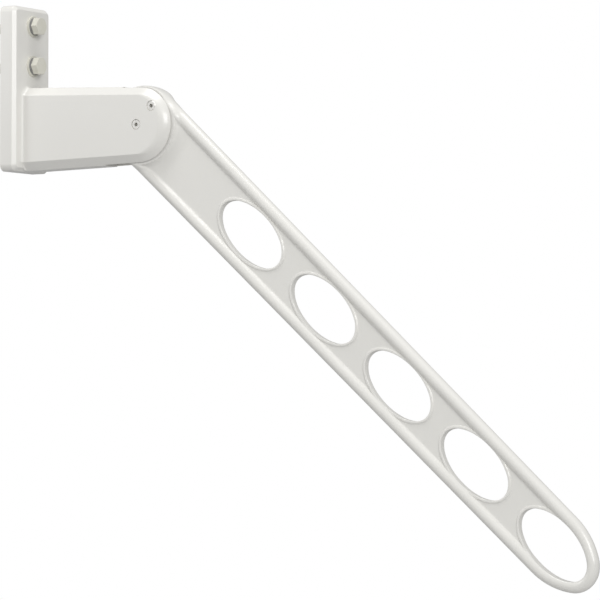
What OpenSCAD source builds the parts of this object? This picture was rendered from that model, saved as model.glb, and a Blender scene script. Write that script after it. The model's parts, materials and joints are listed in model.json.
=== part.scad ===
// Wall mounted fold down drying rack: one pole bracket of a pair.
// X points away from the wall, Y runs along the wall and Z points up.
// The origin is on the back face of the wall plate, midway between the two wall bolts.

/* [Wall plate] */
// Width of the plate along the wall
plate_w = 50; // [44:1:70]
// Thickness of the plate
plate_t = 14; // [10:0.5:20]
// Radius of the plate's corners
plate_corner_r = 5.5; // [4:0.5:9]
// Bevel round the plate's front face
plate_bevel = 3; // [1:0.5:3.5]
// How far the plate runs down below the bracket
plate_foot = 0.4; // [0.2:0.1:20]

/* [Wall bolts] */
// Distance between the two wall bolts
bolt_pitch = 32; // [28:1:45]
// Upper bolt's distance from the plate's top edge
bolt_edge = 15.5; // [12:0.5:20]
// Height of the lower bolt above the bracket
bolt_rise = 18; // [14:0.5:30]
// Thread diameter of the wall bolts
bolt_d = 8; // [6:1:10]
// Diameter of the bolts' plain shank, between the head and the wall
bolt_shank_d = 7.2; // [5:0.1:10]
// Length of the bolts under the head
bolt_len = 50; // [40:5:80]
// Head size across flats
bolt_af = 13; // [10:1:16]
// Head height
bolt_head_h = 5.3; // [4:0.1:7]
// How far the flat washers reach past the corners of the heads
washer_rim = 0.8; // [0.4:0.1:3]
// Thickness of the flat washers
washer_t = 1.6; // [1:0.1:2.5]
// Width of the split spring washers' section
spring_washer_w = 2.8; // [2:0.1:3]
// Thickness of the split spring washers
spring_washer_t = 2; // [1.2:0.1:2.6]

/* [Bracket] */
// Distance of the pivot from the wall
pivot_x = 123.5; // [100:0.5:160]
// Thickness of each cheek
cheek_t = 5.95; // [5:0.05:12]
// How far the arm's round root stands past the bracket's rounded end
root_proud = 1.4; // [0.5:0.1:3]
// How much higher the bracket's upper edge is at the plate than at the rounded end
taper_up = 4.4; // [1:0.1:12]
// How much lower the bracket's lower edge is at the plate than at the rounded end
taper_down = 2.4; // [1:0.1:12]
// Bevel along the edges of the side faces
side_bevel = 6.6; // [2:0.2:7]
// Thickness of the casting's walls round the hollow behind the slot
core_wall = 6.5; // [4:0.5:9]

/* [Hinge pins] */
// Diameter of the pivot axle and of the stop pin's head
pin_d = 8; // [7:0.5:9]
// Shank diameter of the stop pin
stop_shank_d = 6; // [5:0.5:6.5]
// Direction of the stop pin from the pivot, above horizontal
stop_angle = 45; // [35:1:50]
// Wall of the roller on the stop pin
roller_wall = 0.9; // [0.8:0.1:2]
// Wall of the steel sleeve between the cheeks
sleeve_wall = 1.8; // [1:0.1:2.5]
// Wall of the two threaded inserts in the far cheek
insert_wall = 1.5; // [1:0.1:2]
// How far the inserts sit below the far side face
insert_inset = 1.2; // [1:0.1:3]
// Drive socket across flats
socket_af = 3; // [2.5:0.5:4]
// Depth of the drive sockets
socket_depth = 4; // [2:0.5:6]

/* [Friction pack] */
// Outside diameter of the facings, washers and springs
pack_d = 26.4; // [24:0.2:27]
// Thickness of each friction facing
facing_t = 1.5; // [1:0.1:2]
// Thickness of the pressure plate
pressure_t = 1.2; // [0.8:0.1:1.6]
// Material thickness of each disc spring
spring_t = 0.9; // [0.6:0.1:1]
// Cone height of each disc spring
spring_cone = 0.35; // [0.2:0.05:0.45]
// Thickness of the thrust washer on the far side
thrust_t = 1; // [0.6:0.1:1.4]
// Wall of the arm's bush
bush_wall = 1.45; // [1:0.05:2]

/* [Arm] */
// Angle of the arm below horizontal at rest
arm_drop = 42; // [0:1:85]
// Highest angle that the arm turns to, above horizontal
arm_up_limit = 45; // [0:1:45]
// Lowest angle that the arm turns to, below horizontal
arm_down_limit = 90; // [85:1:90]
// Wall between the friction pack's recess and the stop slot
stop_land = 2.3; // [1.5:0.1:4]
// Wall between the stop slot and the outside of the round root
root_land = 7.3; // [5:0.1:12]
// Thickness of the arm's root
hub_t = 15; // [14:0.1:16]
// Width of the fillet between the root and the web
collar_w = 11.5; // [6:0.5:20]
// Length of the web between the root's fillet and the first hole
neck_len = 55.3; // [20:0.1:100]
// Length of the web between two holes
hole_land = 19.6; // [10:0.1:40]
// Number of pole holes
hole_count = 5; // [3:1:6]
// Length of the pole holes
hole_len = 68.6; // [60:0.2:70]
// Width of the pole holes
hole_w = 37.2; // [30:0.2:38]
// Material between the last hole and the arm's outer edge, at the hole's side
edge_wall = 8.75; // [7:0.05:14]
// Material between the last hole and the arm's tip
tip_wall = 8.3; // [7:0.1:14]
// Radius of the arm's tip
tip_r = 20; // [17:0.5:22]
// Diameter of the round rim along the arm's edges
rim_d = 10; // [9:0.5:11]
// Thickness of the flat web between the rims
web_t = 4; // [3:0.5:6]
// Width of the raised lip round each hole
lip_w = 2; // [1:0.5:3]
// Height of the lip above the web
lip_h = 0.9; // [0.4:0.1:1.5]

/* [Clearances] */
// Radial gap between the turning arm and the sleeve
running_gap = 0.05; // [0.02:0.01:0.09]
// Radial gap of the pins in the near cheek
hole_gap = 0.1; // [0.05:0.05:0.2]
// Radial gap of the wall bolts in the plate
bolt_gap = 0.4; // [0.2:0.1:0.6]
// Radial gap of the washers and springs on what they are threaded on
stack_gap = 0.2; // [0.1:0.05:0.3]
// Radial gap that stands for the fit of threads and pressed pieces
thread_gap = 0.02; // [0.01:0.01:0.03]
// Radial gap between the arm's turning pieces and the fixed ones
side_gap = 0.3; // [0.2:0.05:0.5]
// Gap between the arm's root and each cheek
cheek_gap = 1.1; // [0.8:0.1:2]
// Gap between the arm's round root and the slot's back wall
back_gap = 1.5; // [1:0.1:3]
// Gap between the stop roller and the sides of its slot
stop_gap = 0.2; // [0.1:0.05:0.4]
// How far the pins sit below the side faces
pin_inset = 0.3; // [0.1:0.1:0.8]

/* [Hidden] */
$fn = 96;

washer_bore = bolt_d + 2 * stack_gap;
washer_d = bolt_af / cos(30) + 2 * washer_rim;
spring_washer_d = washer_bore + 2 * spring_washer_w;
bolt_seat = plate_t + washer_t + spring_washer_t;
split_w = 0.8;
split_lean = 20;

sleeve_d = pin_d + 2 * (stack_gap + sleeve_wall);
bush_d = sleeve_d + 2 * (running_gap + bush_wall);
pivot_insert_d = pin_d + 2 * (thread_gap + insert_wall);
stop_insert_d = stop_shank_d + 2 * (thread_gap + insert_wall);
roller_d = stop_shank_d + 2 * (hole_gap + roller_wall);
roller_play = 0.2;
pin_bevel = 0.5;

stop_slot_w = roller_d + 2 * stop_gap;
stop_r = pack_d / 2 + side_gap + stop_land + stop_slot_w / 2;
stop_slack = asin(stop_gap / stop_r);
stop_from = stop_angle - arm_up_limit - stop_slack;
stop_to = stop_angle + arm_down_limit + stop_slack;
arm_root_r = stop_r + stop_slot_w / 2 + root_land;

slot_w = hub_t + 2 * cheek_gap;
slot_y = slot_w / 2;
slot_back_r = arm_root_r + back_gap;
bracket_w = slot_w + 2 * cheek_t;
half_w = bracket_w / 2;
near_face = pin_inset - half_w;
far_face = half_w - pin_inset;
nose_r = arm_root_r - root_proud;
root_up = nose_r + taper_up;
root_down = nose_r + taper_down;
slot_reach = 2 * nose_r;
// Half width of the body before its sides are cut
wide_w = half_w + 1;
// The body's straight edges stay this far inside its rounded end, so that the faces cross
nose_step = 0.05;

pivot_z = -bolt_pitch / 2 - bolt_rise - root_up;
plate_top = bolt_pitch / 2 + bolt_edge;
plate_bottom = pivot_z - root_down - plate_foot;
plate_h = plate_top - plate_bottom;

// How much the line from a round end to a point, run away and h high, tilts
function tangent_tilt(run, h, r) = atan2(h, run) + acos(r / norm([run, h])) - 90;

rim_r = rim_d / 2;
// The rim's straight and bent pieces stop short of each other, inside a ball a little wider than them
joint_ball_r = rim_r + 0.05;
joint_gap = 0.3;
// The web's round end is this much narrower than the arm, so that it crosses the rim's middle
web_step = 0.5;
collar_r = arm_root_r + collar_w;
first_hole = collar_r + neck_len + hole_len / 2;
hole_pitch = hole_len + hole_land;
last_hole = first_hole + (hole_count - 1) * hole_pitch;
tip_len = hole_len / 2 + tip_wall;
arm_end_w = hole_w / 2 + edge_wall;
// The straight edges meet the pivot's height this far inside the round root
root_step = 0.3;
arm_root_w = arm_root_r - root_step;
arm_taper = -tangent_tilt(last_hole, arm_end_w, arm_root_w);
edge_normal = [sin(arm_taper), cos(arm_taper)];
edge_end = [last_hole, arm_end_w];
edge_len = last_hole * cos(arm_taper) - arm_end_w * sin(arm_taper);
tip_offset = tip_len - tip_r;
tip_centre = last_hole + tip_offset;
// Radius of the arcs that lead from the straight edges into the tip, tangent to both
tip_side_r = (pow(tip_offset, 2) + pow(arm_end_w, 2) - pow(tip_r, 2))
    / (2 * (arm_end_w * cos(arm_taper) - tip_offset * sin(arm_taper) - tip_r));
tip_side = edge_end - tip_side_r * edge_normal;
tip_turn = atan2(-tip_side.y, tip_centre - tip_side.x);

spring_h = spring_t + spring_cone;
springs_end = 2 * spring_h - slot_y;
pressure_end = springs_end + pressure_t;
near_floor = pressure_end + facing_t;
thrust_from = slot_y - thrust_t;
far_floor = thrust_from - facing_t;
pack_bore = sleeve_d + 2 * stack_gap;
facing_bore = bush_d + 2 * stack_gap;

// ---- Placing and shaping ----

// Draws in the frame of the pivot: X away from the wall, Z up
module at_pivot() {
    translate([pivot_x, 0, pivot_z]) children();
}

// Draws in the frame of the stop pin
module at_stop() {
    at_pivot() rotate([0, -stop_angle, 0]) translate([stop_r, 0, 0]) children();
}

// Draws in the frame of the arm: X runs from the pivot to the tip
module at_arm() {
    at_pivot() rotate([0, arm_drop, 0]) children();
}

// Draws at a wall bolt, upper (1) or lower (-1), with Z along the bolt away from the wall
module at_bolt(side) {
    translate([0, 0, side * bolt_pitch / 2]) rotate([0, 90, 0]) children();
}

// Makes its children's outline in X and Y a slab in X and Z, centred on Y = 0
module slab(t) {
    rotate([90, 0, 0]) linear_extrude(t, center = true) children();
}

// Turns its children's outline, of radius and height, about the Y axis
module turned() {
    rotate([-90, 0, 0]) rotate_extrude() children();
}

// Round bar along Y
module bar(d, from, to) {
    translate([0, from, 0]) rotate([-90, 0, 0]) cylinder(d = d, h = to - from);
}

// Round tube along Y
module tube(d, bore, from, to) {
    difference() {
        bar(d, from, to);
        bar(bore, from - 1, to + 1);
    }
}

// Pin along Y with bevelled ends
module pin(d, from, to) {
    r = d / 2;
    turned() polygon([[0, from], [r - pin_bevel, from], [r, from + pin_bevel],
        [r, to - pin_bevel], [r - pin_bevel, to], [0, to]]);
}

// Hexagonal drive socket in the near end of a pin
module drive_socket() {
    translate([0, near_face - 1, 0]) rotate([-90, 0, 0])
        cylinder(d = socket_af / cos(30), h = socket_depth + 1, $fn = 6);
}

// Repeats its children, mirrored in Z
module both_edges() {
    children();
    mirror([0, 0, 1]) children();
}

// ---- Wall plate and bracket ----

// Outline across the plate, from its back face to its bevelled front face
module plate_section(half) {
    polygon([[0, -half], [plate_t - plate_bevel, -half], [plate_t, plate_bevel - half],
        [plate_t, half - plate_bevel], [plate_t - plate_bevel, half], [0, half]]);
}

module plate() {
    inner_w = plate_w - 2 * plate_corner_r;
    inner_h = plate_h - 2 * plate_corner_r;
    translate([0, 0, plate_bottom + plate_h / 2]) {
        linear_extrude(inner_h, center = true) plate_section(plate_w / 2);
        slab(inner_w) plate_section(plate_h / 2);
        for (y = [-1, 1], z = [-1, 1])
            translate([0, y * inner_w / 2, z * inner_h / 2]) rotate([0, 90, 0])
                rotate_extrude() polygon([[0, 0], [plate_corner_r, 0],
                    [plate_corner_r, plate_t - plate_bevel],
                    [plate_corner_r - plate_bevel, plate_t], [0, plate_t]]);
    }
}

// Half of the tapering body, on one side of the pivot's height, h high at the plate
module half_body(h) {
    run = pivot_x - plate_t / 2;
    edge_r = nose_r - nose_step;
    flat_w = half_w - side_bevel - nose_step * tan(22.5);
    low_r = edge_r + flat_w - wide_w;
    intersection() {
        rotate([0, tangent_tilt(pivot_x - plate_t, h, edge_r), 0])
            translate([-run - h, 0, 0]) rotate([90, 0, 90]) linear_extrude(run + h)
                polygon([[-wide_w, -h], [wide_w, -h], [wide_w, low_r], [flat_w, edge_r],
                    [-flat_w, edge_r], [-wide_w, low_r]]);
        translate([-run, -bracket_w, 0]) cube([2 * run, 2 * bracket_w, 2 * h]);
    }
}

// Rounded end of the body, bevelled like its sides
module nose() {
    flat_w = half_w - side_bevel;
    low_r = nose_r + flat_w - wide_w;
    turned() polygon([[0, -wide_w], [low_r, -wide_w], [nose_r, -flat_w], [nose_r, flat_w],
        [low_r, wide_w], [0, wide_w]]);
}

// Tapering body in the frame of the pivot, its pieces cut to one width so that each side is one plane
module body() {
    intersection() {
        union() {
            half_body(root_up);
            mirror([0, 0, 1]) half_body(root_down);
            nose();
        }
        slab(bracket_w) square(2 * pivot_x + plate_h, center = true);
    }
}

// Slot between the cheeks, clear of the arm at every angle that it turns to
module arm_slot() {
    slab(slot_w) {
        circle(slot_back_r);
        translate([-slot_back_r, -slot_reach]) square([slot_back_r + slot_reach, slot_reach]);
        rotate(arm_up_limit) translate([0, -slot_reach])
            square([slot_reach, slot_reach + slot_back_r]);
    }
}

// Hollow behind the slot, open at the wall
module core() {
    depth = pivot_x - slot_back_r - core_wall;
    height = 2 * (nose_r - core_wall);
    translate([-1, core_wall - half_w, pivot_z - height / 2])
        cube([depth + 1, bracket_w - 2 * core_wall, height]);
}

module bracket() {
    color("ivory") difference() {
        union() {
            plate();
            at_pivot() body();
        }
        core();
        at_pivot() {
            arm_slot();
            bar(pin_d + 2 * hole_gap, -bracket_w, 0);
            bar(pivot_insert_d + 2 * thread_gap, 0, bracket_w);
        }
        at_stop() {
            bar(pin_d + 2 * hole_gap, -bracket_w, 0);
            bar(stop_insert_d + 2 * thread_gap, 0, bracket_w);
        }
        for (side = [-1, 1])
            at_bolt(side) translate([0, 0, -1]) cylinder(r = bolt_d / 2 + bolt_gap, h = plate_t + 2);
    }
}

// ---- Wall bolts ----

module wall_bolt(side) {
    point = bolt_d / 8;
    thread_end = bolt_seat - bolt_len;
    color("ivory") at_bolt(side) {
        intersection() {
            translate([0, 0, bolt_seat]) rotate(30)
                cylinder(d = bolt_af / cos(30), h = bolt_head_h, $fn = 6);
            translate([0, 0, bolt_seat + bolt_head_h - bolt_af])
                cylinder(r1 = bolt_af / 2 + bolt_af / tan(30), r2 = bolt_af / 2, h = bolt_af);
        }
        cylinder(d = bolt_shank_d, h = bolt_seat + bolt_head_h / 2);
        translate([0, 0, thread_end + point]) cylinder(d = bolt_d, h = -thread_end - point);
        translate([0, 0, thread_end]) cylinder(r1 = bolt_d / 2 - point, r2 = bolt_d / 2, h = point);
    }
}

module flat_washer(side) {
    color("ivory") at_bolt(side) translate([0, 0, plate_t]) difference() {
        cylinder(d = washer_d, h = washer_t);
        translate([0, 0, -1]) cylinder(d = washer_bore, h = washer_t + 2);
    }
}

module spring_washer(side) {
    color("silver") at_bolt(side) translate([0, 0, plate_t + washer_t]) difference() {
        cylinder(d = spring_washer_d, h = spring_washer_t);
        translate([0, 0, -1]) cylinder(d = washer_bore, h = spring_washer_t + 2);
        translate([0, 0, spring_washer_t / 2]) rotate([split_lean, 0, 0])
            translate([0, -split_w / 2, -spring_washer_t])
                cube([spring_washer_d, split_w, 2 * spring_washer_t]);
    }
}

// ---- Hinge pins ----

module pivot_axle() {
    color("silver") at_pivot() difference() {
        pin(pin_d, near_face, far_face);
        drive_socket();
    }
}

module pivot_insert() {
    color("silver") at_pivot()
        tube(pivot_insert_d, pin_d + 2 * thread_gap, slot_y, half_w - insert_inset);
}

module pivot_sleeve() {
    color("silver") at_pivot() tube(sleeve_d, pin_d + 2 * stack_gap, -slot_y, slot_y);
}

module stop_pin() {
    color("silver") at_stop() difference() {
        union() {
            pin(pin_d, near_face, -slot_y);
            pin(stop_shank_d, -slot_y - 1, far_face);
        }
        drive_socket();
    }
}

module stop_insert() {
    color("silver") at_stop()
        tube(stop_insert_d, stop_shank_d + 2 * thread_gap, slot_y, half_w - insert_inset);
}

module stop_roller() {
    color("dimgray") at_stop() tube(roller_d, stop_shank_d + 2 * hole_gap,
        roller_play - slot_y, slot_y - roller_play);
}

// ---- Friction pack, from the near cheek to the far one ----

// Conical spring washer, with its inner or its outer edge first along Y
module disc_spring(from, inner_first) {
    ri = pack_bore / 2;
    ro = pack_d / 2;
    inner_y = from + (inner_first ? 0 : spring_cone);
    outer_y = from + (inner_first ? spring_cone : 0);
    color("slategray") at_pivot() turned() polygon([[ri, inner_y], [ro, outer_y],
        [ro, outer_y + spring_t], [ri, inner_y + spring_t]]);
}

module disc_spring_outer() {
    disc_spring(-slot_y, true);
}

module disc_spring_inner() {
    disc_spring(spring_h - slot_y, false);
}

module pressure_plate() {
    color("silver") at_pivot() tube(pack_d, pack_bore, springs_end, pressure_end);
}

module friction_facing_near() {
    color("saddlebrown") at_pivot() tube(pack_d, facing_bore, pressure_end, near_floor);
}

module friction_facing_far() {
    color("saddlebrown") at_pivot() tube(pack_d, facing_bore, far_floor, thrust_from);
}

module thrust_washer() {
    color("silver") at_pivot() tube(pack_d, pack_bore, thrust_from, slot_y);
}

module arm_bush() {
    color("darkgoldenrod") at_pivot()
        tube(bush_d, sleeve_d + 2 * running_gap, near_floor, far_floor);
}

// ---- Arm ----

// Outline of the web, which ends inside the rim
module web_outline() {
    root = (arm_root_w - rim_r) * edge_normal;
    end = edge_end - rim_r * edge_normal;
    polygon([root, end, [end.x, -end.y], [root.x, -root.y]]);
    translate([last_hole, 0]) ellipse(tip_len - rim_r, end.y - web_step);
}

// Ellipse of two half axes, the first one along X
module ellipse(a, b) {
    scale([a / b, 1]) circle(b);
}

// Pole hole's outline, grown by margin all round
module pole_hole(margin) {
    ellipse(hole_len / 2 + margin, hole_w / 2 + margin);
}

// Draws its children at each pole hole
module at_holes() {
    for (i = [0 : hole_count - 1]) translate([first_hole + i * hole_pitch, 0]) children();
}

// Piece of round rim bent about a centre, from one angle to another
module rim_bend(centre, r, from, to) {
    middle_r = r - rim_r;
    short = joint_gap / middle_r * 180 / PI;
    translate([centre.x, 0, centre.y]) rotate([90, -from - short, 0])
        rotate_extrude(angle = to - from - 2 * short) translate([middle_r, 0]) circle(rim_r);
}

// Ball that joins two pieces of rim at an angle round the centre of a bend
module rim_joint(centre, r, turn) {
    translate([centre.x, 0, centre.y]) rotate([0, -turn, 0])
        translate([r - rim_r, 0, 0]) sphere(joint_ball_r);
}

// Round rim along both edges and round the tip
module rim() {
    tip_from = 90 - arm_taper;
    both_edges() {
        rotate([0, arm_taper, 0]) translate([0, 0, arm_root_w - rim_r]) rotate([0, 90, 0])
            cylinder(r = rim_r, h = edge_len - joint_gap);
        rim_bend(tip_side, tip_side_r, tip_turn, tip_from);
        for (turn = [tip_turn, tip_from]) rim_joint(tip_side, tip_side_r, turn);
    }
    rim_bend([tip_centre, 0], tip_r, -tip_turn, tip_turn);
}

// Cone that leads from the thick root down to the web, on the arm's side only
module collar() {
    h = (hub_t - web_t) / 2;
    web_w = arm_root_w - rim_r;
    intersection() {
        for (side = [-1, 1]) rotate([90 * side, 0, 0]) translate([0, 0, web_t / 2 - 0.5])
            cylinder(r1 = collar_r, r2 = arm_root_r, h = h + 0.5);
        slab(hub_t) polygon([[0, -web_w], [collar_r, -web_w], [collar_r, web_w], [0, web_w]]);
    }
}

// Curved slot that the stop pin's roller runs in
module stop_slot() {
    rotate([90, -stop_from, 0]) rotate_extrude(angle = stop_to - stop_from)
        translate([stop_r - stop_slot_w / 2, -hub_t]) square([stop_slot_w, 2 * hub_t]);
    for (turn = [stop_from, stop_to])
        rotate([0, -turn, 0]) translate([stop_r, 0, 0]) bar(stop_slot_w, -hub_t, hub_t);
}

module arm() {
    recess_d = pack_d + 2 * side_gap;
    color("ivory") at_arm() difference() {
        union() {
            bar(2 * arm_root_r, -hub_t / 2, hub_t / 2);
            collar();
            rim();
            slab(web_t) web_outline();
            slab(web_t + 2 * lip_h) at_holes() pole_hole(lip_w);
        }
        slab(2 * hub_t) at_holes() pole_hole(0);
        bar(bush_d + 2 * thread_gap, -hub_t, hub_t);
        bar(recess_d, -hub_t, near_floor);
        bar(recess_d, far_floor, hub_t);
        stop_slot();
    }
}

bracket();
wall_bolt(1);  // wall_bolt_upper
wall_bolt(-1);  // wall_bolt_lower
flat_washer(1);  // flat_washer_upper
flat_washer(-1);  // flat_washer_lower
spring_washer(1);  // spring_washer_upper
spring_washer(-1);  // spring_washer_lower
pivot_axle();
pivot_insert();
pivot_sleeve();
stop_pin();
stop_insert();
stop_roller();
disc_spring_outer();
disc_spring_inner();
pressure_plate();
thrust_washer();
arm();
arm_bush();
friction_facing_near();
friction_facing_far();
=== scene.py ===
"""Looks of a wall mounted fold down drying rack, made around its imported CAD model.

Sizes are in millimetres, in the frame of the piece that they belong to. A finished mesh is in metres, in the
frame of the whole object: X away from the wall, Y along the wall, Z up.
"""

import json
import logging
import math
from dataclasses import dataclass, field
from enum import Enum
from typing import Any, Sequence

import bmesh
import bpy
import numpy as np
from mathutils import Matrix, Vector


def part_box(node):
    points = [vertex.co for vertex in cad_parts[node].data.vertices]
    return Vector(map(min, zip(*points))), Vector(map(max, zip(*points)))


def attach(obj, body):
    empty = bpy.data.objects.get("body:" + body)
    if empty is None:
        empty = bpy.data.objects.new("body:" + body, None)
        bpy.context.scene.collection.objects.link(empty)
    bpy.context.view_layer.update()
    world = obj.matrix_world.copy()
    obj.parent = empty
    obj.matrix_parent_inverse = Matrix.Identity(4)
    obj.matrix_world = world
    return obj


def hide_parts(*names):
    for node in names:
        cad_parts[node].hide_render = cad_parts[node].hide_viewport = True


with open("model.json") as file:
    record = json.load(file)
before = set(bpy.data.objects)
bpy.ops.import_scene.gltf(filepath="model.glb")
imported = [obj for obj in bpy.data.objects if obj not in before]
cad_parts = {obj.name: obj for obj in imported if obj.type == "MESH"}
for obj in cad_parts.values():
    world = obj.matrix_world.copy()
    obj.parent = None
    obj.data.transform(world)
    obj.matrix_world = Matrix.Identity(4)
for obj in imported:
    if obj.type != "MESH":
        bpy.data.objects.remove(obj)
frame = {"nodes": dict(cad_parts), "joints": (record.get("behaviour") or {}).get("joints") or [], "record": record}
bpy.context.view_layer.update()

log = logging.getLogger("drying_rack")

MM = 0.001
MERGE = 0.004
Point = tuple[float, float]


# ---- Shader nodes ----


class Socket:
    """An output socket whose operators add Math nodes."""

    def __init__(self, graph: "Graph", output: bpy.types.NodeSocket) -> None:
        """Wraps one output.

        Args:
            graph: The graph that the output's node is in.
            output: The output socket.
        """
        self.graph = graph
        self.output = output

    def _math(self, operation: str, *values: Any) -> "Socket":
        """Adds a Math node for one operation on values or sockets."""
        return self.graph.node("ShaderNodeMath", {"operation": operation}, dict(enumerate(values)))

    def __add__(self, other: Any) -> "Socket":
        """Returns self + other."""
        return self._math("ADD", self, other)

    __radd__ = __add__

    def __mul__(self, other: Any) -> "Socket":
        """Returns self * other."""
        return self._math("MULTIPLY", self, other)

    __rmul__ = __mul__

    def __sub__(self, other: Any) -> "Socket":
        """Returns self - other."""
        return self._math("SUBTRACT", self, other)

    def __rsub__(self, other: Any) -> "Socket":
        """Returns other - self."""
        return self._math("SUBTRACT", other, self)

    def __pow__(self, other: Any) -> "Socket":
        """Returns self to the power of other."""
        return self._math("POWER", self, other)


class Graph:
    """A node tree that is filled in from Python expressions."""

    def __init__(self, tree: bpy.types.NodeTree) -> None:
        """Starts on an emptied tree.

        Args:
            tree: The node tree of a material or a world.
        """
        self.tree = tree
        tree.nodes.clear()

    def node(self, kind: str, settings: dict[str, Any] | None = None,
             inputs: dict[Any, Any] | None = None, output: int | str = 0) -> Socket:
        """Adds a node.

        Args:
            kind: The node's type name.
            settings: The node's properties, which are set first.
            inputs: Values or links, by the input's name or number.
            output: The output to return.

        Returns:
            The chosen output.
        """
        made = self.tree.nodes.new(kind)
        for name, value in (settings or {}).items():
            setattr(made, name, value)
        for name, value in (inputs or {}).items():
            if isinstance(value, Socket):
                self.tree.links.new(value.output, made.inputs[name])
            else:
                made.inputs[name].default_value = value
        return Socket(self, made.outputs[output])

    def place(self, scale: Sequence[float] = (1, 1, 1), turn: Sequence[float] = (0, 0, 0),
              centre: Sequence[float] = (0, 0, 0)) -> Socket:
        """Returns Object coordinates that are moved so that centre is at zero, then turned and scaled.

        Args:
            scale: Factor along each axis.
            turn: Rotation in radians about each axis.
            centre: The point in metres that becomes the origin.
        """
        coordinates = self.node("ShaderNodeTexCoord", output="Object")
        moved = self.node("ShaderNodeVectorMath", {"operation": "SUBTRACT"}, {0: coordinates, 1: tuple(centre)})
        return self.node("ShaderNodeMapping", {"vector_type": "POINT"},
                         {"Vector": moved, "Rotation": tuple(turn), "Scale": tuple(scale)})

    def noise(self, where: Socket, size: float, detail: float = 2.0, rough: float = 0.5) -> Socket:
        """Returns a noise from 0 to 1.

        Args:
            where: Coordinates in metres.
            size: Size of the noise's features in metres.
            detail: Number of finer layers.
            rough: Weight of the finer layers.
        """
        return self.node("ShaderNodeTexNoise", {"noise_dimensions": "3D"},
                         {"Vector": where, "Scale": 1 / size, "Detail": detail, "Roughness": rough})

    def mix(self, share: Socket, first: Sequence[float], second: Sequence[float]) -> Socket:
        """Returns a colour between two, by a share from 0 to 1."""
        settings = {"data_type": "RGBA", "blend_type": "MIX"}
        inputs = {0: share, 6: (*first, 1), 7: (*second, 1)}
        return self.node("ShaderNodeMix", settings, inputs, output=2)

    def bump(self, height: Socket, distance: float, strength: float, after: Socket | None = None) -> Socket:
        """Returns a normal that is bent by a height.

        Args:
            height: The height, from 0 to 1.
            distance: What a height of 1 stands for, in metres.
            strength: Share of the effect.
            after: A normal that another bump has bent already.
        """
        inputs = {"Height": height, "Distance": distance, "Strength": strength}
        if after is not None:
            inputs["Normal"] = after
        return self.node("ShaderNodeBump", None, inputs)


# ---- Finishes ----


@dataclass(frozen=True)
class Finish:
    """What every finish has: a name, a colour and a shader with constant settings."""

    name: str
    colour: tuple[float, float, float]
    roughness: float = 0.4
    metallic: float = 0.0

    def constants(self) -> dict[str, float]:
        """Returns the shader's constant inputs besides metallic."""
        return {}

    def varying(self, graph: Graph) -> dict[str, Socket]:
        """Returns the shader's inputs that change over the surface."""
        raise NotImplementedError

    def material(self) -> bpy.types.Material:
        """Makes the finish's material, or returns it if it exists."""
        known = bpy.data.materials.get(self.name)
        if known is not None:
            return known
        made = bpy.data.materials.new(self.name)
        made.use_nodes = True
        graph = Graph(made.node_tree)
        inputs: dict[str, Any] = {"Metallic": self.metallic, **self.constants(), **self.varying(graph)}
        shader = graph.node("ShaderNodeBsdfPrincipled", None, inputs)
        end = graph.tree.nodes.new("ShaderNodeOutputMaterial")
        graph.tree.links.new(shader.output, end.inputs["Surface"])
        return made


@dataclass(frozen=True)
class Paint(Finish):
    """Baked paint on a casting: a faint orange peel, soft clouds of gloss and a trace of dust."""

    shade: tuple[float, float, float] = (0.7, 0.69, 0.65)
    peel_size: float = 1.6 * MM
    peel_height: float = 0.006 * MM
    cloud_size: float = 45 * MM
    speck_size: float = 0.5 * MM
    gloss_change: float = 0.05
    coat: float = 0.35

    def constants(self) -> dict[str, float]:
        """Returns the clear gloss over the pigment."""
        return {"Coat Weight": self.coat, "Coat Roughness": 0.16, "Coat IOR": 1.5, "IOR": 1.48}

    def varying(self, graph: Graph) -> dict[str, Socket]:
        """Returns colour, roughness and normal."""
        where = graph.place()
        clouds = graph.noise(where, self.cloud_size, detail=3)
        specks = graph.noise(where, self.speck_size, detail=1)
        peel = graph.noise(where, self.peel_size, detail=1.5)
        share = clouds * 0.5 + specks * 0.12
        return {
            "Base Color": graph.mix(share, self.colour, self.shade),
            "Roughness": self.roughness + (clouds - 0.5) * self.gloss_change + (specks - 0.5) * 0.03,
            "Normal": graph.bump(peel, self.peel_height, 0.6),
        }


@dataclass(frozen=True)
class TurnedMetal(Finish):
    """Metal that a lathe has turned about a line along one axis, with fine rings and a little handling haze."""

    shade: tuple[float, float, float] = (0.5, 0.5, 0.5)
    centre: tuple[float, float, float] = (0, 0, 0)
    axis: str = "Y"
    ring_size: float = 0.22 * MM
    ring_height: float = 0.004 * MM

    def varying(self, graph: Graph) -> dict[str, Socket]:
        """Returns colour, roughness and normal."""
        where = graph.place(centre=self.centre)
        parts = graph.node("ShaderNodeSeparateXYZ", None, {"Vector": where}, output=0).output.node.outputs
        across = [Socket(graph, parts[name]) for name in "XYZ" if name != self.axis]
        radius = (across[0] * across[0] + across[1] * across[1]) ** 0.5
        rings = graph.node("ShaderNodeTexNoise", {"noise_dimensions": "1D"},
                           {"W": radius, "Scale": 1 / self.ring_size, "Detail": 3})
        haze = graph.noise(where, 3 * MM, detail=4)
        return {
            "Base Color": graph.mix(haze * 0.6 + rings * 0.3, self.colour, self.shade),
            "Roughness": self.roughness + (haze - 0.5) * 0.16 + (rings - 0.5) * 0.1,
            "Normal": graph.bump(rings, self.ring_height, 0.7),
        }


@dataclass(frozen=True)
class Moulded(Finish):
    """Moulded or pressed material with a fine grain."""

    shade: tuple[float, float, float] = (0.1, 0.1, 0.1)
    grain_size: float = 0.5 * MM
    grain_height: float = 0.03 * MM

    def varying(self, graph: Graph) -> dict[str, Socket]:
        """Returns colour, roughness and normal."""
        where = graph.place()
        grain = graph.noise(where, self.grain_size, detail=4, rough=0.6)
        patches = graph.noise(where, 12 * self.grain_size, detail=2)
        return {
            "Base Color": graph.mix(grain * 0.6 + patches * 0.4, self.colour, self.shade),
            "Roughness": self.roughness + (grain - 0.5) * 0.2,
            "Normal": graph.bump(grain, self.grain_height, 0.8),
        }


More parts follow.
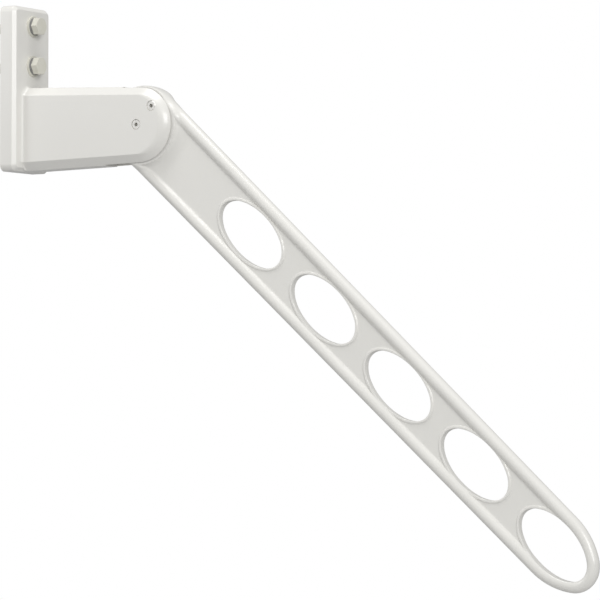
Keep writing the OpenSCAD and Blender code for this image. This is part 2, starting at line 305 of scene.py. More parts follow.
# ---- Mesh helpers ----


def to_frame(bm: bmesh.types.BMesh, place: Matrix) -> None:
    """Moves a mesh from its piece's frame in millimetres to the object's frame in metres."""
    bmesh.ops.transform(bm, matrix=place @ Matrix.Scale(MM, 4), verts=bm.verts)


def finish_mesh(bm: bmesh.types.BMesh, name: str, sharp: float) -> bpy.types.Object:
    """Makes an object of a mesh.

    Args:
        bm: The mesh, in the object's frame. It is freed.
        name: The piece's name.
        sharp: Edges that turn more than this many degrees stay sharp.

    Returns:
        The new object, linked to the scene.
    """
    bmesh.ops.recalc_face_normals(bm, faces=bm.faces)
    for face in bm.faces:
        face.smooth = True
    mesh = bpy.data.meshes.new(name)
    bm.to_mesh(mesh)
    bm.free()
    mesh.set_sharp_from_angle(angle=math.radians(sharp))
    made = bpy.data.objects.new(name, mesh)
    bpy.context.scene.collection.objects.link(made)
    return made


def weigh_normals(piece: bpy.types.Object) -> None:
    """Bends the shading of small rounded edges to that of the large faces beside them."""
    weighted = piece.modifiers.new("even_shading", "WEIGHTED_NORMAL")
    weighted.keep_sharp = True
    weighted.weight = 100


def ring_edges(verts: Sequence[bmesh.types.BMVert]) -> list[bmesh.types.BMEdge]:
    """Returns the edges between these vertices."""
    chosen = set(verts)
    edges = {edge for vert in verts for edge in vert.link_edges}
    return [edge for edge in edges if edge.verts[0] in chosen and edge.verts[1] in chosen]


def closed_loop(bm: bmesh.types.BMesh, points: Sequence[Sequence[float]]) -> list[bmesh.types.BMVert]:
    """Adds a closed ring of vertices, one at each point."""
    ring = bmesh.ops.create_circle(bm, segments=len(points), radius=1)["verts"]
    for vert, point in zip(ring, points):
        vert.co = point
    return ring


def extrude_ring(bm: bmesh.types.BMesh, ring: Sequence[bmesh.types.BMVert],
                 points: Sequence[Sequence[float]]) -> list[bmesh.types.BMVert]:
    """Extrudes a ring of vertices to new points, and returns the new ring in the same order.

    Args:
        bm: The mesh.
        ring: The ring's vertices, in order.
        points: Where each vertex's copy goes.
    """
    order = bm.verts.layers.int["order"]
    for index, vert in enumerate(ring):
        vert[order] = index
    made = bmesh.ops.extrude_edge_only(bm, edges=ring_edges(ring))["geom"]
    fresh = sorted((item for item in made if isinstance(item, bmesh.types.BMVert)), key=lambda v: v[order])
    for vert, point in zip(fresh, points):
        vert.co = point
    return fresh


def new_mesh() -> bmesh.types.BMesh:
    """Returns an empty mesh whose vertices can be numbered and marked."""
    bm = bmesh.new()
    bm.verts.layers.int.new("order")
    bm.verts.layers.int.new("core")
    return bm


def smooth_step(low: float, high: float, value: np.ndarray) -> np.ndarray:
    """Rises smoothly from 0 at low to 1 at high."""
    share = np.clip((value - low) / (high - low), 0, 1)
    return share * share * (3 - 2 * share)


def smooth_max(first: np.ndarray, second: np.ndarray, reach: float) -> np.ndarray:
    """Returns the larger of two heights, with a fillet where they are within reach of each other."""
    near = np.clip(reach - np.abs(first - second), 0, None)
    return np.maximum(first, second) + near * near / (4 * reach)


def cut(piece: bpy.types.Object, cutter: bmesh.types.BMesh, operation: str = "DIFFERENCE") -> None:
    """Cuts or adds a closed mesh, in the object's frame, from or to a piece.

    Args:
        piece: The piece.
        cutter: The mesh. It is freed.
        operation: What the Boolean does.
    """
    tool = finish_mesh(cutter, "cutter", 30)
    boolean = piece.modifiers.new("cut", "BOOLEAN")
    boolean.operation = operation
    boolean.solver = "EXACT"
    boolean.object = tool
    view = bpy.context.evaluated_depsgraph_get()
    mesh = bpy.data.meshes.new_from_object(piece.evaluated_get(view), depsgraph=view)
    piece.modifiers.clear()
    old, piece.data = piece.data, mesh
    bpy.data.meshes.remove(old)
    bpy.data.objects.remove(tool)


def cylinder(radius: float, low: float, high: float, place: Matrix, segments: int = 96) -> bmesh.types.BMesh:
    """Returns a closed cylinder along its own Z axis.

    Args:
        radius: Radius in millimetres.
        low: Where it starts along Z.
        high: Where it ends.
        place: From its own frame to the object's.
        segments: Number of sides.
    """
    bm = bmesh.new()
    lift = Matrix.Translation((0, 0, (low + high) / 2))
    bmesh.ops.create_cone(bm, cap_ends=True, segments=segments, radius1=radius, radius2=radius,
                          depth=high - low, matrix=lift)
    to_frame(bm, place)
    return bm


# ---- Arm ----


@dataclass
class Arm:
    """The casting that folds down: a round root, a web with oval holes, and a round rim.

    Its frame has X from the pivot to the tip, Y along the hinge and Z across the arm.
    """

    pivot: Vector
    drop: float
    holes: list[float]
    hole_half: Point = (34.3, 18.6)
    root_r: float = 31.5
    edge_at_root: float = 31.2
    edge_at_last: float = 27.35
    tip_wall: float = 8.22
    tip_r: float = 20.0
    rim_r: float = 5.0
    web_half: float = 2.0
    hub_half: float = 7.5
    lip_w: float = 2.0
    lip_h: float = 0.9
    collar_r: float = 43.0
    rim_swell_r: float = 36.5
    core_r: float = 26.0
    edge_round: float = 0.5
    recess_r: float = 13.5
    bush_r: float = 7.52
    near_floor: float = -3.4
    far_floor: float = 6.1
    stop_r: float = 20.0
    stop_half: float = 4.2
    stop_span: Point = (-0.57, 135.57)
    rows: int = 36
    finish: Finish = field(default_factory=lambda: PAINT)

    def __post_init__(self) -> None:
        """Works out the outline's slopes and arcs."""
        last = self.holes[-1]
        reach = math.hypot(last, self.edge_at_last)
        self.taper = math.atan2(last, self.edge_at_last) - math.acos(self.edge_at_root / reach)
        self.normal = np.array([math.sin(self.taper), math.cos(self.taper)])
        self.edge_end = np.array([last, self.edge_at_last])
        tip_offset = self.hole_half[0] + self.tip_wall - self.tip_r
        self.tip = np.array([last + tip_offset, 0.0])
        gap = self.edge_end - self.tip
        self.side_r = ((gap @ gap) - self.tip_r ** 2) / (2 * (gap @ self.normal - self.tip_r))
        self.side = self.edge_end - self.side_r * self.normal
        self.tip_turn = math.atan2(-self.side[1], self.tip[0] - self.side[0])

    def depth(self, p: np.ndarray) -> np.ndarray:
        """Returns how far inside the outline each point is.

        Args:
            p: Points, along the arm and across it, in the last axis.
        """
        x, z = p[..., 0], np.abs(p[..., 1])
        along = x * self.normal[1] - z * self.normal[0]
        edge = self.edge_at_root - x * self.normal[0] - z * self.normal[1]
        end = self.edge_end[0] * self.normal[1] - self.edge_end[1] * self.normal[0]
        from_side = np.stack([x - self.side[0], z - self.side[1]], axis=-1)
        side = self.side_r - np.linalg.norm(from_side, axis=-1)
        tip = self.tip_r - np.hypot(x - self.tip[0], z)
        turn = np.arctan2(from_side[..., 1], from_side[..., 0])
        outer = np.where(along < end, edge, np.where(turn > self.tip_turn, side, tip))
        root = self.root_r - np.hypot(x, z)
        return np.where(x < 0, root, np.where(x > self.root_r, outer, np.maximum(root, outer)))

    def height(self, p: np.ndarray) -> np.ndarray:
        """Returns half the arm's thickness at each point.

        Args:
            p: Points, along the arm and across it, in the last axis.
        """
        x = p[..., 0]
        depth = np.clip(self.depth(p), 0, None)
        from_pivot = np.hypot(x, p[..., 1])
        swell = 1 - smooth_step(self.root_r, self.rim_swell_r, from_pivot)
        rim_h = self.rim_r + (self.hub_half - self.rim_r) * swell
        width = 1 + (self.rim_r - 1) * smooth_step(-4, 10, x)
        outer = rim_h * np.sqrt(np.clip(1 - np.clip(1 - depth / width, 0, 1) ** 2, 0, 1))
        inner = rim_h * np.sqrt(np.clip(1 - ((depth - self.rim_r) / self.rim_r) ** 2, 0, 1))
        share = np.clip((from_pivot - self.root_r) / (self.collar_r - self.root_r), 0, 1)
        fillet = (self.hub_half - self.web_half) * (1 - np.sqrt(np.clip(1 - (1 - share) ** 2, 0, 1)))
        fillet = np.where(from_pivot < self.root_r, self.hub_half, self.web_half + fillet)
        flat = np.maximum(fillet, self.web_half + self.lip_h * self.lip_share(p))
        web = smooth_max(inner, flat, 1.2)
        blend = smooth_step(self.rim_r - 1.5, self.rim_r + 0.5, depth)
        inside = np.where(from_pivot < self.root_r, outer, outer * (1 - blend) + web * blend)
        return inside - self.worn_edge(p)

    def hole_distance(self, p: np.ndarray) -> np.ndarray:
        """Returns each point's distance from the edge of the nearest hole."""
        a, b = self.hole_half
        best = np.full(p.shape[:-1], np.inf)
        for centre in self.holes:
            x, z = p[..., 0] - centre, p[..., 1]
            level = np.sqrt((x / a) ** 2 + (z / b) ** 2)
            slope = np.sqrt(x ** 2 / a ** 4 + z ** 2 / b ** 4) + 1e-9
            best = np.minimum(best, (level - 1) * level / slope)
        return best

    def lip_share(self, p: np.ndarray) -> np.ndarray:
        """Returns 1 on the raised lip round the holes and 0 away from it."""
        return 1 - smooth_step(self.lip_w - 0.45, self.lip_w + 0.45, self.hole_distance(p))

    def worn_edge(self, p: np.ndarray) -> np.ndarray:
        """Returns how much the round of the holes' edges takes off the height."""
        near = np.clip(1 - self.hole_distance(p) / self.edge_round, 0, 1)
        return self.edge_round * (1 - np.sqrt(1 - near * near))

    def rows_between(self, inner: np.ndarray, outer: np.ndarray) -> np.ndarray:
        """Spaces points evenly over the surface on the way from an inner loop to an outer one.

        Args:
            inner: The inner loop's points.
            outer: The outer loop's points, one for each inner one.

        Returns:
            Points with their height, by row and then round the loop.
        """
        share = 0.5 - 0.5 * np.cos(np.linspace(0, math.pi, 260))
        path = inner[None] + (outer - inner)[None] * share[:, None, None]
        high = self.height(path)
        step = np.hypot(np.linalg.norm(np.diff(path, axis=0), axis=-1), np.diff(high, axis=0))
        length = np.concatenate([np.zeros((1, step.shape[1])), np.cumsum(step, axis=0)])
        rows = np.linspace(0, 1, self.rows + 1)
        chosen = [np.interp(rows * length[-1, j], length[:, j], share) for j in range(length.shape[1])]
        chosen = np.array(chosen).T[..., None]
        flat = inner[None] + (outer - inner)[None] * chosen
        return np.concatenate([flat, self.height(flat)[..., None]], axis=-1)

    def across(self, x: float) -> list[Point]:
        """Returns points across the arm at a place along it, from its lower edge to its upper one."""
        half = (self.edge_at_root - x * self.normal[0]) / self.normal[1]
        rim = 2 * self.rim_r + 0.6
        side = [half - rim * (1 - math.cos(math.pi * i / 28)) for i in range(15)]
        middle = list(np.linspace(-side[-1], side[-1], 23)[1:-1])
        upper = list(reversed(side))
        return [(x, z) for z in [-v for v in side] + middle + upper]

    def along(self, start: float, end: float, count: int) -> list[Point]:
        """Returns points along the upper edge, without the ends."""
        places = np.linspace(start, end, count + 1)[1:-1]
        return [(x, (self.edge_at_root - x * self.normal[0]) / self.normal[1]) for x in places]

    def tip_outline(self, start: float) -> list[Point]:
        """Returns points round the tip, from the upper edge at a place along it to the lower edge."""
        upper = self.along(start, self.edge_end[0], 16) + [tuple(self.edge_end)]
        turns = np.linspace(math.pi / 2 - self.taper, self.tip_turn, 27)[1:]
        upper += [tuple(self.side + self.side_r * np.array([math.cos(t), math.sin(t)])) for t in turns]
        turns = np.linspace(self.tip_turn, 0, 21)[1:]
        upper += [tuple(self.tip + self.tip_r * np.array([math.cos(t), math.sin(t)])) for t in turns]
        return upper + [(x, -z) for x, z in reversed(upper[:-1])]

    def hole_cell(self, index: int, start: float, end: float | None) -> np.ndarray:
        """Returns the rows of points from a hole's edge to the edges of its stretch of the arm.

        Args:
            index: Number of the hole.
            start: Where its stretch starts.
            end: Where it ends, or None at the tip.
        """
        left = self.across(start)
        if end is None:
            loop = left + self.tip_outline(start)
        else:
            top = self.along(start, end, 30)
            loop = left + top + list(reversed(self.across(end))) + [(x, -z) for x, z in reversed(top)]
        outer = np.array(loop)
        a, b = self.hole_half
        turns = np.arctan2(outer[:, 1] / b, (outer[:, 0] - self.holes[index]) / a)
        inner = np.stack([self.holes[index] + a * np.cos(turns), b * np.sin(turns)], axis=-1)
        return self.rows_between(inner, outer)

    def root_cell(self, end: float) -> np.ndarray:
        """Returns the rows of points from the core of the root to its outline and the first stretch's start."""
        right = self.across(end)
        corner = math.atan2(right[-1][1], end)
        turns = np.linspace(corner, 2 * math.pi - corner, 121)[1:-1]
        outer = []
        for turn in turns:
            direction = np.array([math.cos(turn), abs(math.sin(turn))])
            reach = self.root_r
            if direction[0] > 0:
                reach = max(reach, self.edge_at_root / (direction @ self.normal))
            outer.append((reach * math.cos(turn), reach * math.sin(turn)))
        outer = np.array(right + outer)
        unit = outer / np.linalg.norm(outer, axis=1)[:, None]
        return self.rows_between(unit * self.core_r, outer)

    def add_cell(self, bm: bmesh.types.BMesh, rows: np.ndarray) -> list[bmesh.types.BMVert]:
        """Adds one stretch of the near half and returns its innermost ring."""
        first = ring = closed_loop(bm, [(x, -h, z) for x, z, h in rows[0]])
        for row in rows[1:]:
            ring = extrude_ring(bm, ring, [(x, -h, z) for x, z, h in row])
        return first

    def stop_slot(self) -> list[Point]:
        """Returns the outline of the curved slot that the stop pin's roller runs in."""
        low, high = (math.radians(turn) for turn in self.stop_span)
        outline = []
        for radius, turns in ((self.stop_r + self.stop_half, np.linspace(low, high, 41)),
                              (self.stop_r - self.stop_half, np.linspace(high, low, 41))):
            outline += [(radius * math.cos(t), radius * math.sin(t)) for t in turns]
            end = turns[-1]
            centre = (self.stop_r * math.cos(end), self.stop_r * math.sin(end))
            start = end if radius > self.stop_r else end + math.pi
            for turn in np.linspace(start, start + math.pi, 17)[1:-1]:
                outline.append((centre[0] + self.stop_half * math.cos(turn),
                                centre[1] + self.stop_half * math.sin(turn)))
        return outline

    @staticmethod
    def bore_ring(radius: float, y: float) -> list[tuple[float, float, float]]:
        """Returns the points of a circle round the pivot at a distance y from the middle plane."""
        return [(radius * math.cos(turn), y, radius * math.sin(turn))
                for turn in np.linspace(0, 2 * math.pi, 97)[:-1]]

    def add_core(self, bm: bmesh.types.BMesh, near: list[bmesh.types.BMVert],
                 far: list[bmesh.types.BMVert]) -> None:
        """Closes the root's middle with its faces, the friction pack's recesses, the bush's bore and the slot.

        Args:
            bm: The mesh, both halves.
            near: The innermost ring of the root's near half.
            far: The same ring of its far half.
        """
        steps = [(self.recess_r, -self.hub_half), (self.recess_r, self.near_floor),
                 (self.bush_r, self.near_floor), (self.bush_r, self.far_floor),
                 (self.recess_r, self.far_floor), (self.recess_r, self.hub_half)]
        first = ring = closed_loop(bm, self.bore_ring(*steps[0]))
        for step in steps[1:]:
            ring = extrude_ring(bm, ring, self.bore_ring(*step))
        slot = self.stop_slot()
        slot_near = closed_loop(bm, [(x, -self.hub_half, z) for x, z in slot])
        slot_far = extrude_ring(bm, slot_near, [(x, self.hub_half, z) for x, z in slot])
        for loops, side in (((near, first, slot_near), -1), ((far, ring, slot_far), 1)):
            edges = [edge for loop in loops for edge in ring_edges(loop)]
            bmesh.ops.triangle_fill(bm, use_beauty=True, edges=edges, normal=(0, side, 0))

    def build(self) -> bpy.types.Object:
        """Builds the arm's mesh and dresses it."""
        bm = new_mesh()
        lands = [(a + b) / 2 for a, b in zip(self.holes, self.holes[1:])]
        first_start = self.holes[0] - (self.holes[1] - self.holes[0]) / 2
        starts = [first_start] + lands
        ends = lands + [None]
        for index, (start, end) in enumerate(zip(starts, ends)):
            edge = self.add_cell(bm, self.hole_cell(index, start, end))
            extrude_ring(bm, edge, [(v.co.x, 0, v.co.z) for v in edge])
        core = self.add_cell(bm, self.root_cell(first_start))
        marker = bm.verts.layers.int["core"]
        for vert in core:
            vert[marker] = 1
        bmesh.ops.mirror(bm, geom=bm.verts[:] + bm.edges[:] + bm.faces[:], merge_dist=MERGE, axis="Y")
        bmesh.ops.remove_doubles(bm, verts=bm.verts, dist=MERGE)
        near = [vert for vert in bm.verts if vert[marker] and vert.co.y < 0]
        far = [vert for vert in bm.verts if vert[marker] and vert.co.y > 0]
        self.add_core(bm, near, far)
        to_frame(bm, Matrix.Translation(self.pivot) @ Matrix.Rotation(self.drop, 4, "Y"))
        piece = finish_mesh(bm, "arm_casting", 32)
        weigh_normals(piece)
        piece.data.materials.append(self.finish.material())
        return piece


PAINT = Paint("ivory_paint", colour=(0.80, 0.79, 0.755), shade=(0.77, 0.76, 0.72), roughness=0.34)


# ---- Bracket ----


@dataclass
class Bracket:
    """The casting of wall plate and forked bracket.

    The body's frame has its origin at the pivot, X away from the wall and Z up.
    """

    low: Vector
    high: Vector
    pivot: Vector
    bolts: list[Vector]
    plate_t: float = 14.0
    plate_corner_r: float = 5.5
    plate_bevel: float = 3.0
    half_w: float = 14.55
    nose_r: float = 30.1
    root_up: float = 34.5
    root_down: float = 32.5
    side_bevel: float = 6.6
    slot_half: float = 8.6
    slot_back_r: float = 33.0
    arm_up_limit: float = 45.0
    core_wall: float = 6.5
    pin_hole_r: float = 4.1
    pivot_insert_r: float = 5.54
    stop_insert_r: float = 4.54
    bolt_hole_r: float = 4.4
    stop_r: float = 20.0
    stop_angle: float = 45.0
    cove: float = 2.6
    under: float = 0.6
    edge_soft: float = 0.8
    nose_soft: float = 9.0
    finish: Finish = field(default_factory=lambda: PAINT)

    def __post_init__(self) -> None:
        """Works out how much the body's edges tilt."""
        self.run = self.pivot.x / MM - self.plate_t
        self.tilt_up = self.edge_tilt(self.root_up)
        self.tilt_down = self.edge_tilt(self.root_down)

    def edge_tilt(self, height: float) -> float:
        """Returns the tilt of the straight edge that is tangent to the round end and height high at the plate."""
        return math.atan2(height, self.run) + math.acos(self.nose_r / math.hypot(self.run, height)) - math.pi / 2

    def section(self, soft: float) -> list[Point]:
        """Returns the body's edge in section, from the near side face to the far one, as distance and Y.

        Args:
            soft: Radius of the rounding between the bevels and the faces.
        """
        flat_r, flat_y = self.nose_r - self.side_bevel, self.half_w - self.side_bevel
        cutback = soft * math.tan(math.pi / 8)
        half = []
        for corner, start in (((flat_r, self.half_w), 0.0), ((self.nose_r, flat_y), math.pi / 4)):
            tangent = (math.sin(start), math.cos(start))
            along = (math.cos(start), -math.sin(start))
            first = (corner[0] - along[0] * cutback, corner[1] - along[1] * cutback)
            centre = (first[0] - tangent[0] * soft, first[1] - tangent[1] * soft)
            for turn in np.linspace(start, start + math.pi / 4, 6):
                half.append((centre[0] + soft * math.sin(turn), centre[1] + soft * math.cos(turn)))
        return [(r, -y) for r, y in half] + [(r, y) for r, y in reversed(half)]

    def path(self) -> list[tuple[Vector, Vector, float]]:
        """Returns stations round the body's outline, from the top at the plate to the bottom.

        Returns:
            Each station's point on the centre line, its outward direction and how far round the end it is.
        """
        back = self.run + self.plate_t / 2
        stations = []
        for share in np.linspace(0, 1, 9)[:-1]:
            stations.append((self.station(self.tilt_up, back * (1 - share), 1), 0.0))
        low, high = self.tilt_up, math.pi - self.tilt_down
        for turn in np.linspace(low, high, 61):
            outward = Vector((math.sin(turn), 0, math.cos(turn)))
            stations.append(((Vector(), outward), math.sin(math.pi * (turn - low) / (high - low))))
        for share in np.linspace(0, 1, 9)[1:]:
            stations.append((self.station(self.tilt_down, back * share, -1), 0.0))
        return [(base, outward, round_share) for (base, outward), round_share in stations]

    @staticmethod
    def station(tilt: float, back: float, side: int) -> tuple[Vector, Vector]:
        """Returns a station on the upper (1) or lower (-1) straight edge, so far back from the pivot."""
        outward = Vector((math.sin(tilt), 0, side * math.cos(tilt)))
        towards_wall = Vector((-math.cos(tilt), 0, side * math.sin(tilt)))
        return towards_wall * back, outward

    def body(self) -> bmesh.types.BMesh:
        """Returns the closed mesh of the tapering body with its round end."""
        bm = new_mesh()
        stations = self.path()
        sections = [self.section(self.edge_soft + self.nose_soft * share) for _, _, share in stations]
        columns = range(len(sections[0]))
        chain = []
        for column in columns:
            line = [base + outward * sections[i][column][0] + Vector((0, sections[i][column][1], 0))
                    for i, (base, outward, _) in enumerate(stations)]
            if not chain:
                ring = [bm.verts.new(point) for point in line]
                for first, second in zip(ring, ring[1:]):
                    bm.edges.new((first, second))
            else:
                ring = extrude_ring(bm, chain[-1], line)
            chain.append(ring)
        bm.faces.new(chain[0])
        bm.faces.new(list(reversed(chain[-1])))
        bm.faces.new([ring[0] for ring in reversed(chain)] + [ring[-1] for ring in chain])
        to_frame(bm, Matrix.Translation(self.pivot))
        return bm

    def plate(self) -> bmesh.types.BMesh:
        """Returns the closed mesh of the wall plate, with round corners and a bevelled front."""
        bm = bmesh.new()
        size = (self.high.y - self.low.y, self.high.z - self.low.z)
        middle = Matrix.Translation((self.plate_t / 2, 0, (self.low.z + self.high.z) / 2 / MM))
        bmesh.ops.create_cube(bm, size=1, matrix=middle @ Matrix.Diagonal(
            (self.plate_t, size[0] / MM, size[1] / MM, 1)))
        long_edges = [e for e in bm.edges if abs(e.verts[0].co.x - e.verts[1].co.x) > 1]
        bmesh.ops.bevel(bm, geom=long_edges, offset=self.plate_corner_r, affect="EDGES", segments=10,
                        profile=0.5, material=-1)
        self.bevel_front(bm, self.plate_t, self.plate_bevel, 1)
        self.bevel_front(bm, self.plate_t, 0.45, 3)
        self.bevel_front(bm, self.plate_t - self.plate_bevel, 0.45, 3)
        to_frame(bm, Matrix.Identity(4))
        return bm

    @staticmethod
    def bevel_front(bm: bmesh.types.BMesh, x: float, width: float, segments: int) -> None:
        """Bevels the ring of edges round the plate at one distance from the wall."""
        ring = [e for e in bm.edges if all(abs(v.co.x - x) < 0.01 for v in e.verts)
                and e.calc_face_angle(0) > 0.1]
        bmesh.ops.bevel(bm, geom=ring, offset=width, offset_type="OFFSET", affect="EDGES", segments=segments,
                        profile=0.5, material=-1, clamp_overlap=False)

    def root_cove(self) -> bmesh.types.BMesh:
        """Returns the closed mesh of the small concave fillet between the body and the plate."""
        bm = new_mesh()
        section = self.section(self.edge_soft)
        loops = []
        arcs = [(math.pi / 2 * i / 6) for i in range(7)]
        stations = [(self.cove, -self.under), (self.cove, 0.0)]
        stations += [(self.cove * (1 - math.sin(a)), self.cove * (1 - math.cos(a))) for a in arcs[1:]]
        stations += [(-self.under, self.cove), (-self.under, -self.under)]
        for ahead, grown in stations:
            loops.append(self.body_section(section, ahead, grown))
        first = ring = closed_loop(bm, loops[0])
        for loop in loops[1:]:
            ring = extrude_ring(bm, ring, loop)
        bmesh.ops.bridge_loops(bm, edges=ring_edges(ring) + ring_edges(first))
        to_frame(bm, Matrix.Translation(self.pivot))
        return bm

    def body_section(self, section: list[Point], ahead: float, grown: float) -> list[Vector]:
        """Returns the body's outline in a plane parallel to the plate, grown all round.

        Args:
            section: The body's edge in section.
            ahead: The plane's distance in front of the plate.
            grown: How far the outline is outside the body.
        """
        back = self.run - ahead
        centre_r, centre_y = self.nose_r - self.side_bevel, self.half_w - self.side_bevel
        loop = []
        for tilt, side, half in ((self.tilt_up, 1, section), (self.tilt_down, -1, list(reversed(section)))):
            for index, (r, y) in enumerate(half):
                ahead_of = half[min(index + 1, len(half) - 1)]
                behind = half[max(index - 1, 0)]
                along = Vector((ahead_of[0] - behind[0], ahead_of[1] - behind[1])).normalized()
                out_r, out_y = (-along.y, along.x) if half is section else (along.y, -along.x)
                if index in (0, len(half) - 1):
                    out_r, out_y = 0.0, math.copysign(1, y)
                lift = grown if side > 0 else -self.under
                r_grown, y_grown = r + abs(out_r) * lift, y + math.copysign(abs(out_y), y) * grown
                z = side * (r_grown + back * math.sin(tilt)) / math.cos(tilt)
                loop.append(Vector((-back, y_grown, z)))
        return loop

    def slot_cutter(self) -> bmesh.types.BMesh:
        """Returns the closed mesh of the slot between the cheeks."""
        far = 3 * self.nose_r
        up = math.radians(self.arm_up_limit)
        turns = np.linspace(math.pi, math.pi / 2 + up, 25)
        outline = [(far, -far), (-self.slot_back_r, -far)]
        outline += [(self.slot_back_r * math.cos(t), self.slot_back_r * math.sin(t)) for t in turns]
        x, z = outline[-1]
        outline += [(x + far * math.cos(up), z + far * math.sin(up)), (far, z + far * math.sin(up))]
        bm = bmesh.new()
        face = bm.faces.new([bm.verts.new((x, -self.slot_half, z)) for x, z in outline])
        made = bmesh.ops.extrude_face_region(bm, geom=[face])["geom"]
        moved = [item for item in made if isinstance(item, bmesh.types.BMVert)]
        bmesh.ops.translate(bm, verts=moved, vec=(0, 2 * self.slot_half, 0))
        to_frame(bm, Matrix.Translation(self.pivot))
        return bm

    def core_cutter(self) -> bmesh.types.BMesh:
        """Returns the closed mesh of the hollow behind the slot."""
        bm = bmesh.new()
        depth = self.pivot.x / MM - self.slot_back_r - self.core_wall
        size = (depth + 2, 2 * (self.half_w - self.core_wall), 2 * (self.nose_r - self.core_wall))
        middle = Matrix.Translation((depth / 2 - 1, 0, self.pivot.z / MM))
        bmesh.ops.create_cube(bm, size=1, matrix=middle @ Matrix.Diagonal((*size, 1)))
        bmesh.ops.bevel(bm, geom=bm.edges[:], offset=2, affect="EDGES", segments=4, profile=0.5, material=-1)
        to_frame(bm, Matrix.Identity(4))
        return bm

    def build(self) -> bpy.types.Object:
        """Builds the bracket's mesh and dresses it."""
        piece = finish_mesh(self.plate(), "bracket_casting", 32)
        cut(piece, self.body(), "UNION")
        cut(piece, self.core_cutter())
        cut(piece, self.slot_cutter())
        along_y = Matrix.Rotation(-math.pi / 2, 4, "X")
        stop = Vector((math.cos(math.radians(self.stop_angle)), 0, math.sin(math.radians(self.stop_angle))))
        for place, insert_r in ((self.pivot, self.pivot_insert_r),
                                (self.pivot + stop * self.stop_r * MM, self.stop_insert_r)):
            hole = Matrix.Translation(place) @ along_y
            cut(piece, cylinder(self.pin_hole_r, -2 * self.half_w, 0, hole, 64))
            cut(piece, cylinder(insert_r, 0, 2 * self.half_w, hole, 64))
        for bolt in self.bolts:
            turned = Matrix.Translation(bolt) @ Matrix.Rotation(math.pi / 2, 4, "Y")
            cut(piece, cylinder(self.bolt_hole_r, -5, self.plate_t + 5, turned, 64))
        bm = bmesh.new()
        bm.from_mesh(piece.data)
        cove = bpy.data.meshes.new("cove")
        cove_mesh = self.root_cove()
        bmesh.ops.recalc_face_normals(cove_mesh, faces=cove_mesh.faces)
        cove_mesh.to_mesh(cove)
        cove_mesh.free()
        bm.from_mesh(cove)
        bpy.data.meshes.remove(cove)
        for face in bm.faces:
            face.smooth = True
        bm.to_mesh(piece.data)
        bm.free()
        piece.data.set_sharp_from_angle(angle=math.radians(32))
        weigh_normals(piece)
        piece.data.materials.clear()
        piece.data.materials.append(self.finish.material())
        return piece


# ---- Surroundings ----


@dataclass
class Studio:
    """Plain floor, soft lights, pale world and the camera."""

    azimuth: float = 31.23
    elevation: float = -2.13
    distance: float = 2.8477
    lens: float = 222.66
    target: tuple[float, float, float] = (0.2655, 0, -0.2088)
    floor_z: float = -0.75
    floor_r: float = 2.2

    def camera(self) -> None:
        """Makes the camera."""
        data = bpy.data.cameras.new("camera")
        data.lens = self.lens
        data.sensor_width = 36
        data.clip_end = 50
        a, e = math.radians(self.azimuth), math.radians(self.elevation)
        back = Vector((math.sin(a) * math.cos(e), -math.cos(a) * math.cos(e), math.sin(e)))
        camera = bpy.data.objects.new("camera", data)
        camera.location = Vector(self.target) + back * self.distance
        camera.rotation_euler = back.to_track_quat("Z", "Y").to_euler()
        bpy.context.scene.collection.objects.link(camera)
        bpy.context.scene.camera = camera

    def light(self, name: str, place: Sequence[float], size: float, power: float,
              aim: Sequence[float] = (0.2, 0, -0.1), colour: Sequence[float] = (1, 1, 1)) -> None:
        """Makes one square soft light.

        Args:
            name: Its name.
            place: Where it is.
            size: Length of its sides.
            power: Its power in watts.
            aim: The point that it faces.
            colour: Its colour.
        """
        data = bpy.data.lights.new(name, "AREA")
        data.shape = "SQUARE"
        data.size = size
        data.energy = power
        data.color = colour
        lamp = bpy.data.objects.new(name, data)
        lamp.location = place
        lamp.rotation_euler = (Vector(place) - Vector(aim)).to_track_quat("Z", "Y").to_euler()
        bpy.context.scene.collection.objects.link(lamp)

    def world(self) -> None:
        """Makes a world that is white to look at and dimmer as a light."""
        world = bpy.data.worlds.new("pale_world")
        world.use_nodes = True
        bpy.context.scene.world = world
        graph = Graph(world.node_tree)
        seen = graph.node("ShaderNodeLightPath", output="Is Camera Ray")
        strength = seen * 0.66 + 0.34
        shade = graph.node("ShaderNodeBackground", None, {"Color": (1, 1, 1, 1), "Strength": strength})
        out = graph.tree.nodes.new("ShaderNodeOutputWorld")
        graph.tree.links.new(shade.output, out.inputs["Surface"])

    def floor(self) -> None:
        """Makes the floor."""
        bm = bmesh.new()
        bmesh.ops.create_circle(bm, cap_ends=True, segments=96, radius=self.floor_r,
                                matrix=Matrix.Translation((0.2, 0, self.floor_z)))
        floor = finish_mesh(bm, "floor", 30)
        floor.data.materials.append(
            Moulded("pale_floor", colour=(0.62, 0.62, 0.62), shade=(0.58, 0.58, 0.58), roughness=0.7,
                    grain_size=3 * MM, grain_height=0.1 * MM).material())

    def build(self) -> None:
        """Makes everything round the object."""
        bpy.context.scene.view_settings.view_transform = "Standard"
        self.world()
        self.floor()
        self.light("top", (0.15, -0.3, 1.5), 1.0, 15.5)
        self.light("front", (2.1, -1.6, 0.7), 1.1, 32)
        self.light("wall_side", (-1.3, -1.4, 0.6), 0.9, 8)
        self.camera()


# ---- Assembly ----


class Slot(Enum):
    """The record's material slots, and the finish of the CAD nodes in each."""

    PAINTED = "painted_casting"
    BOLT = "coated_bolt"
    SPRING = "spring_steel"
    PIN = "stainless_pin"
    PLASTIC = "roller_plastic"
    BRONZE = "bush_bronze"
    LINING = "friction_lining"


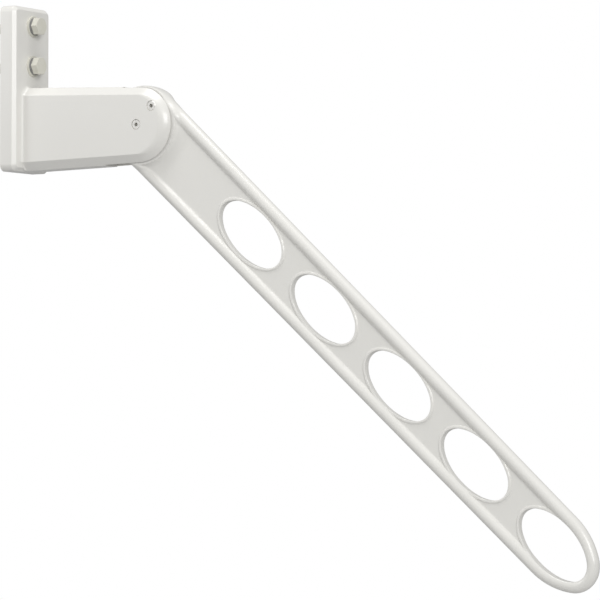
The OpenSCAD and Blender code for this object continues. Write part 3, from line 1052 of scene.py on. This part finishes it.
def slot_finishes(pivot: Vector) -> dict[str, Finish]:
    """Returns the finish of each material slot.

    Args:
        pivot: The hinge's middle, which the turned pieces' rings are round.
    """
    centre = tuple(pivot)
    return {
        Slot.PAINTED.value: PAINT,
        Slot.BOLT.value: Paint("coated_steel", colour=(0.74, 0.73, 0.66), shade=(0.62, 0.60, 0.50),
                               roughness=0.3, coat=0.2, cloud_size=5 * MM),
        Slot.SPRING.value: TurnedMetal("spring_steel", colour=(0.20, 0.20, 0.21), shade=(0.10, 0.10, 0.11),
                                       roughness=0.38, metallic=1.0, centre=centre),
        Slot.PIN.value: TurnedMetal("stainless_steel", colour=(0.86, 0.85, 0.82), shade=(0.74, 0.73, 0.70),
                                    roughness=0.5, metallic=0.75, centre=centre),
        Slot.PLASTIC.value: Moulded("black_nylon", colour=(0.03, 0.03, 0.032), shade=(0.02, 0.02, 0.02),
                                    roughness=0.45),
        Slot.BRONZE.value: TurnedMetal("sintered_bronze", colour=(0.58, 0.40, 0.20), shade=(0.42, 0.28, 0.13),
                                       roughness=0.42, metallic=1.0, centre=centre),
        Slot.LINING.value: Moulded("friction_lining", colour=(0.16, 0.09, 0.05), shade=(0.09, 0.06, 0.04),
                                   roughness=0.8),
    }


def dress_nodes(finishes: dict[str, Finish]) -> None:
    """Gives every CAD node the finish of its slot.

    Args:
        finishes: The finish of each slot.
    """
    for row in frame["record"]["subparts"]:
        node = frame["nodes"][row["node"]]
        node.data.materials.clear()
        node.data.materials.append(finishes[row["material_slot"]].material())


def main() -> None:
    """Builds every piece round the frame."""
    logging.basicConfig(level=logging.INFO, format="%(name)s: %(message)s")
    Studio().build()
    pivot = Vector(frame["joints"][0]["pos_m"])
    mounts = {mount["name"]: Vector(mount["pos_m"]) for mount in frame["record"]["mounts"]}
    holes = [mounts[name] for name in sorted(mounts) if name.startswith("pole_hole")]
    finishes = slot_finishes(pivot)
    dress_nodes(finishes)
    away = holes[-1] - pivot
    arm = Arm(pivot, math.atan2(-away.z, away.x), [(hole - pivot).length / MM for hole in holes]).build()
    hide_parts("arm")
    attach(arm, "arm_body")
    log.info("%s: %d faces", arm.name, len(arm.data.polygons))
    low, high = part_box("bracket")
    bolts = [(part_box(name)[0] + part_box(name)[1]) / 2 for name in ("wall_bolt_upper", "wall_bolt_lower")]
    bracket = Bracket(low, high, pivot, [Vector((0, 0, bolt.z)) for bolt in bolts]).build()
    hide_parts("bracket")
    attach(bracket, "bracket_body")
    log.info("%s: %d faces", bracket.name, len(bracket.data.polygons))
    bpy.context.view_layer.update()


if __name__ == "__main__":
    main()
